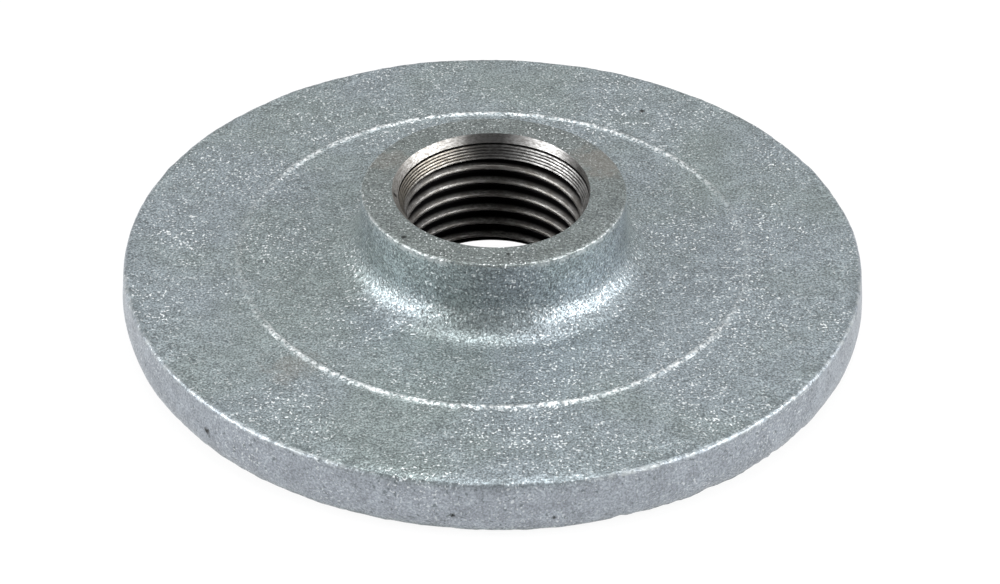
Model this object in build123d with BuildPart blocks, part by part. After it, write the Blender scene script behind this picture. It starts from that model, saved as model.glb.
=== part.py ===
from build123d import *
from math import radians, tan
import os

# Round screwed base flange: one casting in malleable iron, hot-dip galvanised, then bored and tapped.
# The plate lies flat, the hub stands on it, and the tube screws into the hub from above.
# Millimetres, +Z up, origin on the bore axis at the flat back face.

# plate, its rim widest where the two halves of the mould met
plate_diameter = 80.6
plate_thickness = 6.4
parting_height = 1.9
rim_top_diameter = 79.6
rim_back_diameter = 78.8
rim_top_radius = 0.4
rim_back_chamfer = 0.6

# raised line on the plate, where a drilled flange has its bolt circle
line_diameter = 55.0
line_foot_width = 0.8
line_crest_width = 0.3
line_height = 0.2

# hub
hub_height = 14.3
hub_top_diameter = 28.4
hub_draft = 4.0  # degrees, the hub widens towards the plate
hub_foot_radius = 3.2
hub_edge_chamfer = 0.2

# 1/2 inch parallel pipe thread: 14 turns to the inch, 55 degree flanks
thread_pitch = 25.4 / 14
thread_major_radius = 20.955 / 2
thread_minor_radius = 18.631 / 2
half_flank_angle = radians(55 / 2)
crest_relief = 0.03  # the crests stand this far back from the plain lands
foot_sunk = 0.15  # the ridge's foot reaches this far into the wall
thread_start = 1.175
thread_end = 11.4

# bore, from the top down: chamfer, turned lead-in, plain land, thread, plain land, back chamfer
mouth_radius = 10.9
chamfer_depth = 0.9
lead_in_radius = 10.15
lead_in_end_radius = 9.55
lead_in_depth = 1.55
top_land = 0.4
back_land = 1.0
back_chamfer_depth = 0.9

plate_radius = plate_diameter / 2
rim_top = rim_top_diameter / 2
rim_back = rim_back_diameter / 2
hub_top_radius = hub_top_diameter / 2
hub_base_radius = hub_top_radius + (hub_height - plate_thickness) * tan(radians(hub_draft))
line_radius = line_diameter / 2
lead_in_top = hub_height - chamfer_depth
lead_in_end = lead_in_top - lead_in_depth
overrun = 2.0  # how far the bore's cutter reaches past the faces it cuts

# sections are drawn on the -X side, because the thread starts at +X
section_plane = Plane.XZ.rotated((0, 0, 180))

os.makedirs("parts", exist_ok=True)

with BuildPart() as flange:
    # the casting: plate and hub turned from one half section
    with BuildSketch(section_plane) as casting:
        with BuildLine():
            Polyline(
                (0, 0),
                (rim_back, 0),
                (plate_radius, parting_height),
                (rim_top, plate_thickness),
                (hub_base_radius, plate_thickness),
                (hub_top_radius, hub_height),
                (0, hub_height),
                close=True,
            )
        make_face()

        def corner(radius, height):
            return casting.vertices().sort_by_distance((radius, height))[0]

        chamfer(corner(rim_back, 0), rim_back_chamfer)
        fillet(corner(rim_top, plate_thickness), rim_top_radius)
        fillet(corner(hub_base_radius, plate_thickness), hub_foot_radius)
        chamfer(corner(hub_top_radius, hub_height), hub_edge_chamfer)
    revolve(axis=Axis.Z)

    # raised line, its foot sunk in the plate
    with BuildSketch(section_plane):
        with BuildLine():
            Polyline(
                (line_radius - line_foot_width / 2, plate_thickness - line_height),
                (line_radius - line_foot_width / 2, plate_thickness),
                (line_radius - line_crest_width / 2, plate_thickness + line_height),
                (line_radius + line_crest_width / 2, plate_thickness + line_height),
                (line_radius + line_foot_width / 2, plate_thickness),
                (line_radius + line_foot_width / 2, plate_thickness - line_height),
                close=True,
            )
        make_face()
    revolve(axis=Axis.Z)

    # bore with its two mouths, opened to the thread's roots between the two lands
    with BuildSketch(section_plane):
        with BuildLine():
            Polyline(
                (0, -overrun),
                (mouth_radius, -overrun),
                (mouth_radius, 0),
                (thread_minor_radius, back_chamfer_depth),
                (thread_minor_radius, back_chamfer_depth + back_land),
                (thread_major_radius, back_chamfer_depth + back_land),
                (thread_major_radius, lead_in_end - top_land),
                (thread_minor_radius, lead_in_end - top_land),
                (thread_minor_radius, lead_in_end),
                (lead_in_end_radius, lead_in_end),
                (lead_in_radius, lead_in_top),
                (mouth_radius, hub_height),
                (mouth_radius, hub_height + overrun),
                (0, hub_height + overrun),
                close=True,
            )
        make_face()
    revolve(axis=Axis.Z, mode=Mode.SUBTRACT)

    # thread: a ridge wound up the bore from +X, its foot sunk in the wall and its ends in the lands
    pitch_radius = (thread_minor_radius + thread_major_radius) / 2
    crest = thread_minor_radius + crest_relief
    foot = thread_major_radius + foot_sunk
    crest_half = thread_pitch / 4 - (pitch_radius - crest) * tan(half_flank_angle)
    foot_half = thread_pitch / 4 + (foot - pitch_radius) * tan(half_flank_angle)
    with BuildLine():
        Helix(thread_pitch, thread_end - thread_start, pitch_radius, center=(0, 0, thread_start))
    with BuildSketch(Plane.ZX.shift_origin((0, 0, thread_start))):
        with BuildLine():
            Polyline(
                (-foot_half, foot),
                (-crest_half, crest),
                (crest_half, crest),
                (foot_half, foot),
                close=True,
            )
        make_face()
    sweep(is_frenet=True)

flange.part.label = "flange"
export_step(flange.part, "parts/flange.step")
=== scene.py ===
import bpy
from math import atan2, ceil, cos, degrees, hypot, pi, radians, sin, tan
from mathutils import Matrix, Vector


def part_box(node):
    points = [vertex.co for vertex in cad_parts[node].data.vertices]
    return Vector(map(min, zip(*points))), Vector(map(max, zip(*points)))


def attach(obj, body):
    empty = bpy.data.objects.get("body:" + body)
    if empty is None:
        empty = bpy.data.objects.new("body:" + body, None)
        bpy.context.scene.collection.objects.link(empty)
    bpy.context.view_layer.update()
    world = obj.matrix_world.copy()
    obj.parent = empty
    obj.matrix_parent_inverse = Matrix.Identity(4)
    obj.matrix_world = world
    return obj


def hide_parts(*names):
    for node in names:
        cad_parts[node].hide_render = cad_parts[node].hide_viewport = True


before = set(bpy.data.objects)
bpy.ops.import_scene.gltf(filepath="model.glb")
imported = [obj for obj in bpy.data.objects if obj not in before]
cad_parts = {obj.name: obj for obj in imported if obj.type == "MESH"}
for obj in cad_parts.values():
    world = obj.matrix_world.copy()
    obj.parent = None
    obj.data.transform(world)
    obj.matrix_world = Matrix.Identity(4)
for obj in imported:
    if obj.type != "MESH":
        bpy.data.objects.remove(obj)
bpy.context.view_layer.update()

mm = 0.001
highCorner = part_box("flange")[1]
plateRadius = highCorner.x / mm
fullHeight = highCorner.z / mm


# small helpers

def makeActive(piece):
    if bpy.context.mode != "OBJECT":
        bpy.ops.object.mode_set(mode="OBJECT")
    bpy.ops.object.select_all(action="DESELECT")
    piece.select_set(True)
    bpy.context.view_layer.objects.active = piece


def editPiece(piece, kind="VERT"):
    makeActive(piece)
    bpy.ops.object.mode_set(mode="EDIT")
    bpy.ops.mesh.select_mode(type=kind)


def leaveEditing():
    bpy.ops.object.mode_set(mode="OBJECT")


def pickVertices(piece, isWanted):
    editPiece(piece)
    bpy.ops.mesh.select_all(action="DESELECT")
    leaveEditing()
    for vertex in piece.data.vertices:
        vertex.select = isWanted(vertex.co / mm)
    bpy.ops.object.mode_set(mode="EDIT")


def pickEdges(piece, isWanted):
    # the test is given both ends of each edge, in millimetres
    editPiece(piece, "EDGE")
    bpy.ops.mesh.select_all(action="DESELECT")
    leaveEditing()
    places = [vertex.co / mm for vertex in piece.data.vertices]
    for edge in piece.data.edges:
        edge.select = isWanted(*(places[index] for index in edge.vertices))
    bpy.ops.object.mode_set(mode="EDIT")


def startPoint(place):
    # a plane merged to one vertex and moved to its place, ready to be extruded into a section
    bpy.ops.mesh.primitive_plane_add(size=mm, location=(0, 0, 0))
    piece = bpy.context.object
    bpy.ops.object.mode_set(mode="EDIT")
    bpy.ops.mesh.select_all(action="SELECT")
    bpy.ops.mesh.merge(type="CENTER")
    bpy.ops.transform.translate(value=place * mm)
    return piece


def drawSection(corners):
    # corners are given as (distance from the bore's axis, height) in millimetres
    places = [Vector((radius, 0, height)) for radius, height in corners]
    piece = startPoint(places[0])
    for here, there in zip(places, places[1:]):
        bpy.ops.mesh.extrude_region_move(TRANSFORM_OT_translate={"value": (there - here) * mm})
    leaveEditing()
    return piece


def roundCorner(piece, corner, reach, steps):
    place = Vector((corner[0], 0, corner[1]))
    pickVertices(piece, lambda point: (point - place).length < 0.01)
    bpy.ops.mesh.bevel(offset=reach * mm, segments=steps, affect="VERTICES")
    leaveEditing()


def divideStretch(piece, start, end, longestRow):
    # the straight stretch of the section between two places is cut into even rows
    first, last = Vector((start[0], 0, start[1])), Vector((end[0], 0, end[1]))
    along = (last - first).normalized()

    def onStretch(point):
        reach = (point - first).dot(along)
        off = (point - first - along * reach).length
        return off < 0.005 and -0.01 < reach < (last - first).length + 0.01

    lengths = []

    def isWanted(a, b):
        wanted = onStretch(a) and onStretch(b) and (a - b).length > longestRow
        if wanted:
            lengths.append((a - b).length)
        return wanted

    pickEdges(piece, isWanted)
    if lengths:
        bpy.ops.mesh.subdivide(number_cuts=ceil(max(lengths) / longestRow) - 1)
    leaveEditing()


def spinRound(piece, steps):
    editPiece(piece)
    bpy.ops.mesh.select_all(action="SELECT")
    bpy.ops.mesh.spin(steps=steps, angle=2 * pi, center=(0, 0, 0), axis=(0, 0, 1))
    bpy.ops.mesh.select_all(action="SELECT")
    bpy.ops.mesh.remove_doubles(threshold=0.001 * mm)
    leaveEditing()


def applyModifier(piece, name):
    makeActive(piece)
    bpy.ops.object.modifier_apply(modifier=name)


def toLinear(hexColour):
    channels = [int(hexColour[at:at + 2], 16) / 255 for at in (1, 3, 5)]
    return tuple(
        c / 12.92 if c <= 0.04045 else ((c + 0.055) / 1.055) ** 2.4 for c in channels
    ) + (1.0,)


# camera

view = {
    "lens": 101.87,
    "distance": 310.24,
    "elevation": 35.99,
    "roll": 0.92,
    "target": (0.809, 0.325, 0.448),
}


def placeCamera():
    elevation, roll = radians(view["elevation"]), radians(view["roll"])
    ahead = Vector((0, cos(elevation), -sin(elevation)))
    level = Vector((1, 0, 0))
    below = ahead.cross(level)
    screenRight = level * cos(roll) - below * sin(roll)
    screenDown = level * sin(roll) + below * cos(roll)
    lens = bpy.data.cameras.new("camera")
    lens.lens = view["lens"]
    lens.sensor_width = 36.0
    lens.clip_start = 0.01
    camera = bpy.data.objects.new("camera", lens)
    bpy.context.scene.collection.objects.link(camera)
    axes = Matrix((screenRight, -screenDown, -ahead)).transposed().to_4x4()
    standing = (Vector(view["target"]) - ahead * view["distance"]) * mm
    camera.matrix_world = Matrix.Translation(standing) @ axes
    bpy.context.scene.camera = camera


placeCamera()
print("camera placed")


# the casting: plate and hub turned from one half section, open at the bore

plate = {
    "thickness": 6.4,
    "partingHeight": 1.9,
    "rimTopRadius": 39.8,
    "rimBackRadius": 39.35,
    "partingRound": 1.2,
    "rimTopRound": 0.5,
    "rimBackRound": 0.6,
    "skinRoom": 0.04,
    "row": 0.45,
    "rimRow": 0.35,
    "backRow": 0.9,
}

line = {
    "radius": 27.5,
    "footHalf": 0.42,
    "crestHalf": 0.14,
    "height": 0.2,
}

hub = {
    "topRadius": 14.2,
    "footRadius": 14.75,
    "footRound": 3.15,
    "edgeRound": 0.3,
    "row": 0.42,
}

bore = {
    "mouthRadius": 10.9,
    "chamferDepth": 0.9,
    "leadInRadius": 10.15,
    "leadInEndRadius": 9.55,
    "leadInEnd": 11.85,
    "grooves": 5,
    "grooveDepth": 0.05,
    "backChamferDepth": 0.9,
    "backChamferEnd": 9.6,
    "narrowing": 0.11,
    "narrowsFrom": (-1.5, 0, 1.5, 3.0, 4.5, 6.0),
}

turnedSteps = 480


def buildCasting():
    plateTop = plate["thickness"]
    rimRadius = plateRadius - plate["skinRoom"]
    lineFoot, lineCrest = line["footHalf"], line["crestHalf"]
    mouth = (bore["mouthRadius"], fullHeight)
    hubTop = (hub["topRadius"], fullHeight)
    hubFoot = (hub["footRadius"], plateTop)
    lineInside = (line["radius"] - lineFoot, plateTop)
    lineOutside = (line["radius"] + lineFoot, plateTop)
    rimTop = (plate["rimTopRadius"], plateTop)
    rimWidest = (rimRadius, plate["partingHeight"])
    rimBack = (plate["rimBackRadius"], 0)
    backMouth = (bore["mouthRadius"], 0)
    corners = leadInGrooves() + [
        mouth, hubTop, hubFoot,
        lineInside,
        (line["radius"] - lineCrest, plateTop + line["height"]),
        (line["radius"] + lineCrest, plateTop + line["height"]),
        lineOutside,
        rimTop, rimWidest, rimBack, backMouth,
        (bore["backChamferEnd"], bore["backChamferDepth"]),
    ]
    casting = drawSection(corners)
    roundCorner(casting, hubTop, hub["edgeRound"], 4)
    roundCorner(casting, hubFoot, hub["footRound"], 12)
    roundCorner(casting, rimTop, plate["rimTopRound"], 5)
    roundCorner(casting, rimWidest, plate["partingRound"], 4)
    roundCorner(casting, rimBack, plate["rimBackRound"], 4)
    divideStretch(casting, mouth, hubTop, hub["row"])
    divideStretch(casting, hubTop, hubFoot, hub["row"])
    divideStretch(casting, hubFoot, lineInside, plate["row"])
    divideStretch(casting, lineOutside, rimTop, plate["row"])
    divideStretch(casting, rimTop, rimWidest, plate["rimRow"])
    divideStretch(casting, rimWidest, rimBack, plate["rimRow"])
    divideStretch(casting, rimBack, backMouth, plate["backRow"])
    divideStretch(casting, backMouth, corners[-1], 0.4)
    spinRound(casting, turnedSteps)
    return casting


def leadInGrooves():
    # the turned lead-in, its tool marks cut as shallow rings
    low = Vector((bore["leadInEndRadius"], bore["leadInEnd"]))
    high = Vector((bore["leadInRadius"], fullHeight - bore["chamferDepth"]))
    step = (high - low) / bore["grooves"]
    into = Vector((step.y, -step.x)).normalized() * bore["grooveDepth"]
    places = []
    for index in range(bore["grooves"]):
        places.append(low + step * index)
        places.append(low + step * (index + 0.5) + into)
    places.append(high)
    places.append(high + Vector((0.1, -0.02)))
    places.append(high + Vector((0.06, 0.12)))
    return [tuple(place) for place in places]


flange = buildCasting()
flange.name = "galvanisedFlange"
print("casting turned:", len(flange.data.polygons), "faces")


# the thread: one pitch of its form wound up the bore, cut off level and joined to the two mouths

thread = {
    "pitch": 25.4 / 14,
    "pitchRadius": 9.8965,
    "halfFlankAngle": radians(27.5),
    "crestAtBack": 10.7,
    "rounding": 0.308,
    "roundSteps": 4,
    "turns": 8,
    "stepsPerTurn": 120,
}


def windThread():
    pitch = thread["pitch"]
    reach = pitch / 4 / tan(thread["halfFlankAngle"])
    start = thread["crestAtBack"] - 7 * pitch
    root = (thread["pitchRadius"] + reach, start + pitch / 4)
    crest = (thread["pitchRadius"] - reach, start + 3 * pitch / 4)
    tapped = drawSection([
        (thread["pitchRadius"], start), root, crest, (thread["pitchRadius"], start + pitch),
    ])
    for corner in (root, crest):
        roundCorner(tapped, corner, thread["rounding"] * pitch, thread["roundSteps"])
    winding = tapped.modifiers.new("winding", "SCREW")
    winding.axis = "Z"
    winding.screw_offset = pitch * mm
    winding.iterations = thread["turns"]
    winding.steps = winding.render_steps = thread["stepsPerTurn"]
    applyModifier(tapped, "winding")
    editPiece(tapped)
    bpy.ops.mesh.select_all(action="SELECT")
    bpy.ops.mesh.remove_doubles(threshold=0.001 * mm)
    for height, upward in ((bore["leadInEnd"], 1), (bore["backChamferDepth"], -1)):
        bpy.ops.mesh.select_all(action="SELECT")
        bpy.ops.mesh.bisect(
            plane_co=(
                0, 0, height * mm,
            ), plane_no=(0, 0, upward), clear_outer=True, threshold=0.00001 * mm,
        )
    leaveEditing()
    return tapped


def joinThread(casting, tapped):
    makeActive(casting)
    tapped.select_set(True)
    bpy.ops.object.join()
    for height in (bore["leadInEnd"], bore["backChamferDepth"]):
        editPiece(casting, "EDGE")
        bpy.ops.mesh.select_all(action="DESELECT")
        bpy.ops.mesh.select_non_manifold(
            extend=False, use_wire=False, use_boundary=True, use_multi_face=False, use_non_contiguous=False,
        )
        leaveEditing()
        heights = [vertex.co.z / mm for vertex in casting.data.vertices]
        for edge in casting.data.edges:
            if edge.select and max(abs(heights[index] - height) for index in edge.vertices) > 0.002:
                edge.select = False
        bpy.ops.object.mode_set(mode="EDIT")
        bpy.ops.mesh.bridge_edge_loops()
    bpy.ops.mesh.select_mode(type="FACE")
    bpy.ops.mesh.select_all(action="SELECT")
    bpy.ops.mesh.normals_make_consistent(inside=False)
    leaveEditing()


tapped = windThread()
joinThread(flange, tapped)
print("thread joined:", len(flange.data.polygons), "faces")


# the chamfer was cut out of true: it fades away towards the right of the mouth

def narrowChamfer(casting):
    mouthRadius = bore["mouthRadius"]
    for startsAt in bore["narrowsFrom"]:
        pickVertices(casting, lambda point: (
            point.x > startsAt and point.z > fullHeight - 0.01 and hypot(
                point.x, point.y,
            ) < mouthRadius + 0.05
        ))
        factor = 1 - bore["narrowing"] / (mouthRadius - startsAt)
        bpy.ops.transform.resize(value=(factor, 1, 1), center_override=(startsAt * mm, 0, 0))
    leaveEditing()


narrowChamfer(flange)


# two finishes on one piece: the zinc coat, and the bare metal cut after it

finishes = {"zincCoat": 0, "bareIron": 1}


def shareFinishes(casting):
    casting.data.materials.clear()
    for name in finishes:
        casting.data.materials.append(bpy.data.materials.new(name))
    for face in casting.data.polygons:
        centre = face.center / mm
        machined = hypot(centre.x, centre.y) < 11.2 and 0.01 < centre.z < fullHeight - 0.01
        face.material_index = finishes["bareIron" if machined else "zincCoat"]


# the cast skin: what sand, zinc and fettling did to the turned shape

skin = {
    "waves": {"size": 8.0, "depth": 0.07, "level": 1.0},
    "lumps": {"size": 1.3, "depth": 0.035, "level": 1.0},
    "burr": {"size": 1.1, "depth": 0.24, "level": 0.45},
    "sag": {"size": 7.0, "depth": 0.12, "level": 0.6},
    "beads": {"size": 0.9, "depth": 0.20, "level": 0.8},
    "hubBurr": {"size": 0.8, "depth": 0.16, "level": 0.55},
    "notches": {"size": 1.4, "depth": 0.28, "level": 1.1, "contrast": 2.5, "brightness": 1.3},
}


def smoothly(start, end, value):
    share = min(1, max(0, (value - start) / (end - start)))
    return share * share * (3 - 2 * share)


def polar(point):
    return hypot(point.x, point.y), degrees(atan2(point.y, point.x))


def onCasting(point):
    radius, _ = polar(point)
    return smoothly(11.0, 12.0, radius)


def onRimEdge(point):
    radius, turn = polar(point)
    away = hypot(radius - plate["rimTopRadius"], point.z - plate["thickness"])
    strength = 1 if -170 < turn < -118 or -72 < turn < -15 else 0.45
    return strength * smoothly(0.75, 0.1, away)


def onRim(point):
    radius, _ = polar(point)
    return smoothly(36.5, 38.8, radius)


def onFrontEdge(point):
    # between the two burrs the edge is worn round
    radius, turn = polar(point)
    away = hypot(radius - plate["rimTopRadius"], point.z - plate["thickness"])
    return smoothly(1.3, 0.1, away) * smoothly(24, 12, abs(turn + 92))


def onLine(point):
    radius, turn = polar(point)
    if abs(point.z - plate["thickness"]) > 0.5:
        return 0
    faint = 1 if abs(abs(turn) - 90) > 62 else 0.55
    return faint * smoothly(0.45, 0.2, abs(radius - line["radius"]))


def onHubEdge(point):
    radius, turn = polar(point)
    away = hypot(radius - hub["topRadius"], point.z - fullHeight + 0.15)
    strength = 1 if -158 < turn < -112 or -65 < turn < -20 else 0.35
    return strength * smoothly(0.5, 0.1, away)


def onBackEdge(point):
    radius, turn = polar(point)
    strength = 1 if -72 < turn < -28 else 0.35
    return strength * smoothly(1.5, 0.3, point.z) * smoothly(37.5, 39, radius)


def weigh(piece, name, weightAt):
    group = piece.vertex_groups.new(name=name)
    for vertex in piece.data.vertices:
        weight = weightAt(vertex.co / mm)
        if weight > 0.001:
            group.add([vertex.index], weight, "REPLACE")


def roughen(piece, name, weightAt, direction="NORMAL"):
    settings = skin[name]
    weigh(piece, name, weightAt)
    grain = bpy.data.textures.new(name, "CLOUDS")
    grain.noise_scale = settings["size"] * mm
    grain.noise_basis = "IMPROVED_PERLIN"
    grain.noise_depth = 1
    grain.contrast = settings.get("contrast", 1.6)
    grain.intensity = settings.get("brightness", 1.0)
    rough = piece.modifiers.new(name, "DISPLACE")
    rough.texture = grain
    rough.texture_coords = "LOCAL"
    rough.direction = direction
    rough.vertex_group = name
    rough.strength = settings["depth"] * mm
    rough.mid_level = settings["level"]
    applyModifier(piece, name)


def wearFrontEdge(piece):
    weigh(piece, "wornEdge", onFrontEdge)
    worn = piece.modifiers.new("wornEdge", "DISPLACE")
    worn.vertex_group = "wornEdge"
    worn.strength = -0.24 * mm
    worn.mid_level = 0
    applyModifier(piece, "wornEdge")


shareFinishes(flange)
wearFrontEdge(flange)
roughen(flange, "waves", onCasting)
roughen(flange, "sag", onRim)
roughen(flange, "lumps", onCasting)
roughen(flange, "burr", onRimEdge)
roughen(flange, "beads", onLine)
roughen(flange, "hubBurr", onHubEdge)
roughen(flange, "notches", onBackEdge)
pickVertices(flange, lambda point: point.z < 0)
bpy.ops.transform.resize(value=(1, 1, 0), center_override=(0, 0, 0))
makeActive(flange)
bpy.ops.object.shade_smooth_by_angle(angle=radians(32))
print("cast skin made")

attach(flange, "root")
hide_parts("flange")


# finishes

def addNode(tree, kind, inputs=None, **settings):
    node = tree.nodes.new("ShaderNode" + kind)
    for name, value in settings.items():
        setattr(node, name, value)
    for name, value in (inputs or {}).items():
        socket = node.inputs[name]
        if isinstance(value, bpy.types.NodeSocket):
            tree.links.new(value, socket)
        else:
            socket.default_value = value
    return node


def noise(tree, size, detail=2, roughness=0.55, place=None):
    # size is the width of one blotch in millimetres
    where = place or tree.nodes["placeOnPiece"].outputs["Object"]
    made = addNode(
        tree, "TexNoise",
        {"Vector": where, "Scale": 1 / (size * mm), "Detail": detail, "Roughness": roughness},
    )
    return made.outputs["Fac"]


def stretch(tree, value, low, high, bottom=0.0, top=1.0):
    made = addNode(
        tree, "MapRange",
        {"Value": value, "From Min": low, "From Max": high, "To Min": bottom, "To Max": top},
        interpolation_type="SMOOTHSTEP",
    )
    return made.outputs["Result"]


def combine(tree, operation, first, second):
    made = addNode(tree, "Math", {0: first, 1: second}, operation=operation)
    return made.outputs[0]


def blend(tree, share, first, second, kind="MIX"):
    made = addNode(tree, "Mix", {"Factor": share}, data_type="RGBA", blend_type=kind)
    for socket, value in ((made.inputs[6], first), (made.inputs[7], second)):
        if isinstance(value, bpy.types.NodeSocket):
            tree.links.new(value, socket)
        else:
            socket.default_value = value
    return made.outputs[2]


def spot(tree, centre, reach, ragged=0.35):
    # 1 at a named place on the piece, 0 beyond its reach, with an uneven outline
    where = tree.nodes["placeOnPiece"].outputs["Object"]
    away = addNode(
        tree, "VectorMath", {0: where, 1: tuple(part * mm for part in centre)},
        operation="DISTANCE",
    ).outputs["Value"]
    uneven = stretch(tree, noise(tree, reach * 0.45), 0.2, 0.8, -ragged, ragged)
    share = combine(tree, "ADD", combine(tree, "DIVIDE", away, reach * mm), uneven)
    return stretch(tree, share, 1.0, 0.35)


def startFinish(name):
    finish = bpy.data.materials.new(name)
    finish.use_nodes = True
    tree = finish.node_tree
    addNode(tree, "TexCoord", name="placeOnPiece")
    return finish, tree, tree.nodes["Principled BSDF"]


def heights(tree):
    where = tree.nodes["placeOnPiece"].outputs["Object"]
    parts = addNode(tree, "SeparateXYZ", {"Vector": where})
    across = addNode(
        tree, "VectorMath", {0: where, 1: (1, 1, 0)}, operation="MULTIPLY",
    ).outputs["Vector"]
    radius = addNode(tree, "VectorMath", {0: across}, operation="LENGTH").outputs["Value"]
    return parts, radius


zinc = {
    "green": "#858f8f",
    "blue": "#899297",
    "rim": "#91979e",
    "dark": "#5c6467",
    "paintedGlint": "#e9edee",
    "edgeHighlight": "#aeb3b4",
    "lineHighlight": "#d2d6d7",
    "pitShade": "#2a2c2c",
    "oldTop": "#6f7573",
    "brown": "#8a8178",
    "roughness": 0.42,
    "grain": 0.22,
}

# where the brown stains lie, how far they reach in millimetres, and how strong they are
stains = (
    ((11.5, 5.5, 14.3), 4.0, 0.35),
    ((-11.0, 5.0, 14.3), 3.0, 0.25),
    ((-20.5, -21.5, 6.4), 3.4, 0.22),
)

# small blowholes in the casting, painted dark as the shade inside each hole, and how far each reaches in
# millimetres
shadedPits = (
    ((-7.4, -13.6, 7.9), 0.55),
    ((-9.3, -9.2, 14.25), 0.4),
    ((1.6, -12.0, 14.25), 0.3),
    ((-28.4, -28.0, 3.2), 0.6),
    ((-3.5, -40.1, 2.6), 0.5),
    ((6.5, -39.7, 2.2), 0.4),
    ((17.0, 28.5, 6.35), 0.45),
)


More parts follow.
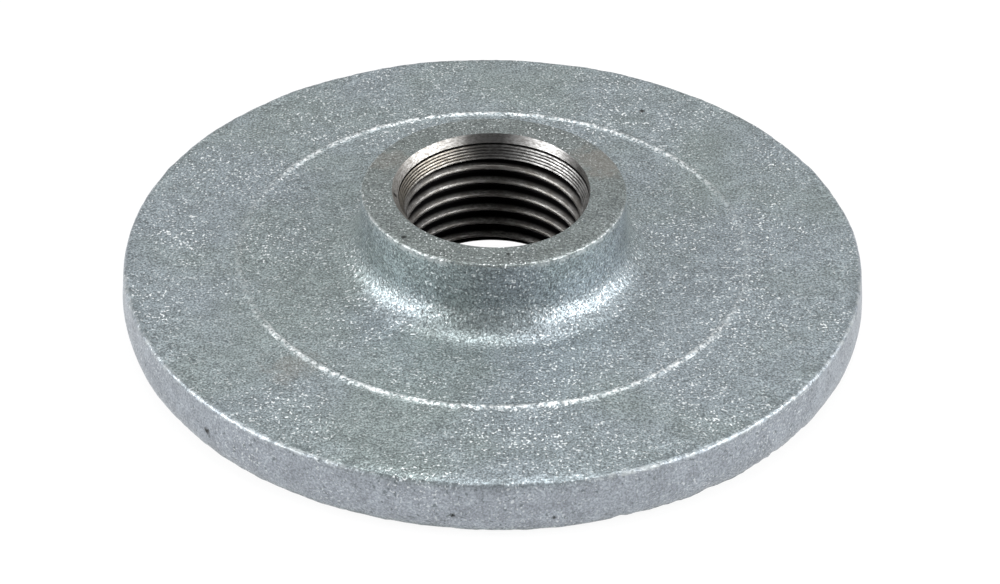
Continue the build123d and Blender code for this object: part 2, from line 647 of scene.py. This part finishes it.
def makeZinc():
    # hot-dip zinc on a sand casting: a dull grey metal, grainy because the sand shows through the coat
    finish, tree, shader = startFinish("hotDipZinc")
    parts, radius = heights(tree)
    patches = stretch(tree, noise(tree, 16, 3), 0.35, 0.65)
    colour = blend(tree, patches, toLinear(zinc["green"]), toLinear(zinc["blue"]))
    # the rim's side has a smoother, bluer coat and is painted lighter, the lightness a painted reflection of
    # the pale floor
    rimSheenShare = stretch(tree, radius, 39.2 * mm, 39.9 * mm)
    colour = blend(tree, rimSheenShare, colour, toLinear(zinc["rim"]))
    # the hub's top was faced and handled: duller
    hubTop = stretch(tree, parts.outputs["Z"], 13.95 * mm, 14.15 * mm)
    colour = blend(tree, combine(tree, "MULTIPLY", hubTop, 0.8), colour, toLinear(zinc["oldTop"]))
    calm = stretch(tree, radius, 39.2 * mm, 39.9 * mm, 1.0, 0.5)
    mottle = stretch(tree, noise(tree, 2.0, 4), 0.3, 0.7, 0.86, 1.1)
    grainNoise = noise(tree, zinc["grain"], 2, 0.6)
    grain = stretch(tree, grainNoise, 0.3, 0.7, 0.5, 1.5)
    grain = combine(
        tree, "ADD", combine(tree, "MULTIPLY", grain, calm), combine(tree, "SUBTRACT", 1.0, calm),
    )
    shade = combine(tree, "MULTIPLY", mottle, grain)
    tone = addNode(
        tree, "CombineColor", {"Red": shade, "Green": shade, "Blue": shade},
    ).outputs["Color"]
    colour = blend(tree, 1.0, colour, tone, "MULTIPLY")
    specks = combine(tree, "MULTIPLY", stretch(tree, noise(tree, 0.55, 2), 0.62, 0.7), 0.75)
    colour = blend(tree, specks, colour, toLinear(zinc["dark"]))
    # painted glints: tiny light flecks in the base colour stand in for zinc grains catching the lamps, gathered
    # in clusters and halved on the rim
    glintClusters = stretch(tree, noise(tree, 9, 2), 0.35, 0.65, 0.25, 1)
    paintedGlint = combine(
        tree, "MULTIPLY", stretch(tree, noise(tree, 0.25, 0), 0.67, 0.76),
        combine(tree, "MULTIPLY", glintClusters, calm),
    )
    colour = blend(tree, paintedGlint, colour, toLinear(zinc["paintedGlint"]))
    for centre, reach, share in stains:
        colour = blend(
            tree, combine(tree, "MULTIPLY", spot(tree, centre, reach), share), colour,
            toLinear(zinc["brown"]),
        )
    # darker in an uneven band along the rim's lower edge, more so towards the right
    lowEdge = combine(
        tree, "MULTIPLY", stretch(tree, parts.outputs["Z"], 1.2 * mm, 0.1 * mm),
        stretch(tree, radius, 37 * mm, 39 * mm),
    )
    lowEdge = combine(
        tree, "MULTIPLY", lowEdge, stretch(tree, noise(tree, 1.1, 3), 0.4, 0.62, 0.15, 0.9),
    )
    lowEdge = combine(
        tree, "MULTIPLY", lowEdge, stretch(tree, parts.outputs["X"], 6 * mm, 16 * mm, 0.7, 1.1),
    )
    colour = blend(tree, lowEdge, colour, toLinear(zinc["dark"]))
    # painted shade: each blowhole is a dark spot in the colour, with no hole in the mesh
    for centre, reach in shadedPits:
        colour = blend(tree, spot(tree, centre, reach, 0.2), colour, toLinear(zinc["pitShade"]))
    # painted highlights: the raised line and the upper edges of hub and rim, raised by zinc, are painted
    # lighter where they catch the lamps
    flatTop = stretch(
        tree,
        combine(
            tree, "ABSOLUTE",
            combine(tree, "SUBTRACT", parts.outputs["Z"], plate["thickness"] * mm), 0,
        ),
        0.5 * mm, 0.3 * mm,
    )
    offLine = combine(tree, "ABSOLUTE", combine(tree, "SUBTRACT", radius, line["radius"] * mm), 0)
    endways = stretch(
        tree, combine(tree, "ABSOLUTE", parts.outputs["Y"], 0), 9 * mm, 18 * mm, 0.25, 1,
    )
    lineHighlightShare = combine(tree, "MULTIPLY", stretch(tree, offLine, 0.5 * mm, 0.2 * mm), flatTop)
    lineHighlightShare = combine(
        tree, "MULTIPLY", lineHighlightShare,
        combine(tree, "MULTIPLY", endways, stretch(tree, noise(tree, 0.4, 3), 0.42, 0.6)),
    )
    # painted highlight on the raised line, strongest at the front and back
    colour = blend(tree, lineHighlightShare, colour, toLinear(zinc["lineHighlight"]))
    burrSides = stretch(
        tree, combine(tree, "ABSOLUTE", combine(tree, "ADD", parts.outputs["X"], 2 * mm), 0),
        7 * mm, 13 * mm,
    )
    burrFront = stretch(tree, parts.outputs["Y"], -1 * mm, -8 * mm)
    rimEdgeHighlightShare = combine(
        tree, "MULTIPLY", combine(tree, "MULTIPLY", burrSides, burrFront),
        stretch(tree, noise(tree, 0.9, 4), 0.42, 0.6),
    )
    rimEdge = combine(
        tree, "ADD", combine(tree, "ABSOLUTE", combine(tree, "SUBTRACT", radius, 39.75 * mm), 0),
        combine(tree, "ABSOLUTE", combine(tree, "SUBTRACT", parts.outputs["Z"], 6.3 * mm), 0),
    )
    # painted shadow: an uneven dark band just inside the rim's upper edge at the front, where the burr shades
    # the top
    insideEdgeShadow = combine(
        tree, "MULTIPLY", stretch(tree, radius, 38.3 * mm, 39.2 * mm),
        combine(tree, "MULTIPLY", burrFront, flatTop),
    )
    insideEdgeShadow = combine(
        tree, "MULTIPLY", insideEdgeShadow, stretch(tree, noise(tree, 1.6, 3), 0.42, 0.62, 0, 0.5),
    )
    colour = blend(tree, insideEdgeShadow, colour, toLinear(zinc["dark"]))
    hubEdge = combine(
        tree, "ADD", combine(tree, "ABSOLUTE", combine(tree, "SUBTRACT", radius, 14.15 * mm), 0),
        combine(tree, "ABSOLUTE", combine(tree, "SUBTRACT", parts.outputs["Z"], 14.0 * mm), 0),
    )
    hubSides = stretch(
        tree, combine(tree, "ABSOLUTE", combine(tree, "ADD", parts.outputs["X"], 0.0), 0), 3.5 * mm,
        6 * mm,
    )
    hubEdgeHighlightShare = combine(
        tree, "MULTIPLY", combine(tree, "MULTIPLY", hubSides, burrFront),
        stretch(tree, noise(tree, 0.5, 3), 0.4, 0.58),
    )
    # painted highlight along the hub's upper edge at the front
    colour = blend(
        tree,
        combine(tree, "MULTIPLY", hubEdgeHighlightShare, stretch(tree, hubEdge, 0.6 * mm, 0.3 * mm, 0, 0.8)),
        colour, toLinear(zinc["edgeHighlight"]),
    )
    # painted highlight along the rim's upper edge at the front
    colour = blend(
        tree,
        combine(tree, "MULTIPLY", rimEdgeHighlightShare, stretch(tree, rimEdge, 0.5 * mm, 0.25 * mm, 0, 0.6)),
        colour, toLinear(zinc["edgeHighlight"]),
    )
    tree.links.new(colour, shader.inputs["Base Color"])
    shader.inputs["Metallic"].default_value = 0.75
    tree.links.new(
        stretch(tree, grainNoise, 0.2, 0.8, zinc["roughness"] + 0.08, zinc["roughness"] - 0.08),
        shader.inputs["Roughness"],
    )
    fine = addNode(tree, "Bump", {"Height": grainNoise, "Strength": 0.6, "Distance": 0.07 * mm})
    coarse = addNode(
        tree, "Bump",
        {
            "Height": noise(tree, 0.75, 3), "Strength": 0.65, "Distance": 0.2 * mm,
            "Normal": fine.outputs["Normal"],
        },
    )
    tree.links.new(coarse.outputs["Normal"], shader.inputs["Normal"])
    return finish


iron = {
    "bright": "#a4a4a3",
    "dull": "#6f6d6b",
    "brown": "#7d7361",
    "grimeAndShade": "#121112",
    "tappedShade": "#5b5854",
    "roughness": 0.36,
}


def makeIron():
    # malleable iron cut on a lathe and tapped: bright along the tool marks; the thread is painted darker and
    # its roots near black, as painted shade deep in the bore
    finish, tree, shader = startFinish("bareCutIron")
    parts, radius = heights(tree)
    height, side = parts.outputs["Z"], parts.outputs["X"]
    where = tree.nodes["placeOnPiece"].outputs["Object"]
    squeezed = addNode(tree, "Mapping", {"Vector": where, "Scale": (0.3, 0.3, 1)}).outputs["Vector"]
    streaks = noise(tree, 0.14, 3, 0.65, squeezed)
    colour = blend(
        tree, stretch(tree, streaks, 0.3, 0.7), toLinear(iron["dull"]), toLinear(iron["bright"]),
    )
    brownShare = combine(
        tree, "MULTIPLY", stretch(tree, side, 1 * mm, -7 * mm),
        stretch(tree, height, 11.6 * mm, 12.2 * mm),
    )
    brownShare = combine(
        tree, "MULTIPLY", brownShare, stretch(tree, height, 13.6 * mm, 13.3 * mm, 0.15, 0.5),
    )
    colour = blend(tree, brownShare, colour, toLinear(iron["brown"]))
    # fine turned rings in the lead-in, and a painted shade line in the crease where the chamfer meets it
    rings = combine(
        tree, "PINGPONG", combine(tree, "SUBTRACT", height, bore["leadInEnd"] * mm), 0.155 * mm,
    )
    ringShare = combine(
        tree, "MULTIPLY", stretch(tree, rings, 0.1 * mm, 0.03 * mm),
        stretch(tree, noise(tree, 1.6, 2), 0.3, 0.6, 0.2, 0.75),
    )
    leadIn = combine(
        tree, "MULTIPLY", stretch(tree, height, 11.8 * mm, 11.9 * mm),
        stretch(tree, height, 13.5 * mm, 13.35 * mm),
    )
    colour = blend(
        tree, combine(tree, "MULTIPLY", ringShare, leadIn), colour, toLinear(iron["grimeAndShade"]),
    )
    creaseShade = stretch(
        tree, combine(tree, "ABSOLUTE", combine(tree, "SUBTRACT", height, 13.4 * mm), 0), 0.1 * mm,
        0.04 * mm,
    )
    colour = blend(tree, combine(tree, "MULTIPLY", creaseShade, 0.9), colour, toLinear(iron["grimeAndShade"]))
    # painted reflection: a dark patch on the back of the chamfer, where it mirrors the dark room around the
    # camera
    colour = blend(
        tree, combine(tree, "MULTIPLY", spot(tree, (-0.6, 10.4, 13.9), 3.6, 0.25), 0.6), colour,
        toLinear(iron["grimeAndShade"]),
    )
    colour = blend(
        tree, spot(tree, (-10.55, -1.0, 13.9), 0.45, 0.2), colour, toLinear(iron["grimeAndShade"]),
    )
    # painted shade: the thread below the lead-in is darkened in uneven patches
    tappedShadeShare = combine(
        tree, "MULTIPLY", stretch(tree, height, 11.9 * mm, 11.7 * mm),
        stretch(tree, noise(tree, 0.5, 3, 0.6, squeezed), 0.35, 0.65, 0.35, 0.85),
    )
    colour = blend(tree, tappedShadeShare, colour, toLinear(iron["tappedShade"]))
    # painted shade: the thread roots go near black
    rootShade = combine(
        tree, "MULTIPLY", stretch(tree, radius, 9.6 * mm, 10.0 * mm),
        stretch(tree, height, 11.9 * mm, 11.7 * mm),
    )
    colour = blend(tree, rootShade, colour, toLinear(iron["grimeAndShade"]))
    tree.links.new(colour, shader.inputs["Base Color"])
    shader.inputs["Metallic"].default_value = 1.0
    tree.links.new(
        stretch(tree, streaks, 0.3, 0.7, iron["roughness"] + 0.1, iron["roughness"]),
        shader.inputs["Roughness"],
    )
    marks = addNode(tree, "Bump", {"Height": streaks, "Strength": 0.5, "Distance": 0.03 * mm})
    tree.links.new(marks.outputs["Normal"], shader.inputs["Normal"])
    return finish


for slot, make in enumerate((makeZinc, makeIron)):
    flange.data.materials[slot] = make()
print("finishes made")


# floor and light

def makeFloor():
    bpy.ops.object.select_all(action="DESELECT")
    bpy.ops.mesh.primitive_plane_add(size=3, location=(0, 0, 0))
    floor = bpy.context.object
    floor.name = "floor"
    paint = bpy.data.materials.new("paleFloor")
    paint.use_nodes = True
    tree = paint.node_tree
    tree.nodes.clear()
    matt = addNode(tree, "BsdfDiffuse", {"Color": (0.9, 0.9, 0.9, 1)})
    glow = addNode(tree, "Emission", {"Strength": 1.0})
    path = addNode(tree, "LightPath")
    # the patch of floor under the bore shows white to the eye but lights nothing inside the thread
    where = addNode(tree, "TexCoord").outputs["Object"]
    away = addNode(tree, "VectorMath", {0: where}, operation="LENGTH").outputs["Value"]
    openFloor = combine(tree, "GREATER_THAN", away, 12 * mm)
    mirrored = combine(
        tree, "MAXIMUM", path.outputs["Is Glossy Ray"], path.outputs["Is Transmission Ray"],
    )
    mirrored = combine(tree, "MULTIPLY", mirrored, openFloor)
    seen = combine(tree, "MAXIMUM", path.outputs["Is Camera Ray"], mirrored)
    share = combine(
        tree, "MULTIPLY", seen,
        combine(tree, "SUBTRACT", 1.0, combine(tree, "MULTIPLY", openFloor, 0.1)),
    )
    mix = addNode(tree, "MixShader", {"Fac": share, 1: matt.outputs[0], 2: glow.outputs[0]})
    addNode(tree, "OutputMaterial", {"Surface": mix.outputs[0]})
    floor.data.materials.append(paint)


lamps = {
    "overhead": {"place": (0, 0.1, 0.8), "size": (0.5, 0.35), "power": 3.2},
    "leftWall": {"place": (-0.78, -0.2, 0.46), "size": (0.85, 0.4), "power": 9},
    "rightWall": {"place": (0.78, -0.17, 0.46), "size": (0.85, 0.4), "power": 9.5},
}


def hangLamp(name, place, size, power):
    lamp = bpy.data.lights.new(name, "AREA")
    lamp.shape = "RECTANGLE"
    lamp.size, lamp.size_y = size
    lamp.energy = power
    box = bpy.data.objects.new(name, lamp)
    bpy.context.scene.collection.objects.link(box)
    box.location = place
    box.rotation_euler = (Vector((0, 0, 0.005)) - Vector(place)).to_track_quat("-Z", "Y").to_euler()


makeFloor()
for name, settings in lamps.items():
    hangLamp(name, **settings)
world = bpy.data.worlds.new("studio")
bpy.context.scene.world = world
world.use_nodes = True
room = world.node_tree
facing = addNode(
    room, "VectorMath", {0: addNode(room, "TexCoord").outputs["Generated"], 1: (0, -0.57, 0.82)},
    operation="DOT_PRODUCT",
).outputs["Value"]
room.links.new(
    stretch(room, facing, 0.7, 0.9, 0.66, 0.06), room.nodes["Background"].inputs["Strength"],
)
room.nodes["Background"].inputs["Color"].default_value = (1, 1, 1, 1)
bpy.context.scene.view_settings.view_transform = "Standard"
print("floor and lamps placed")
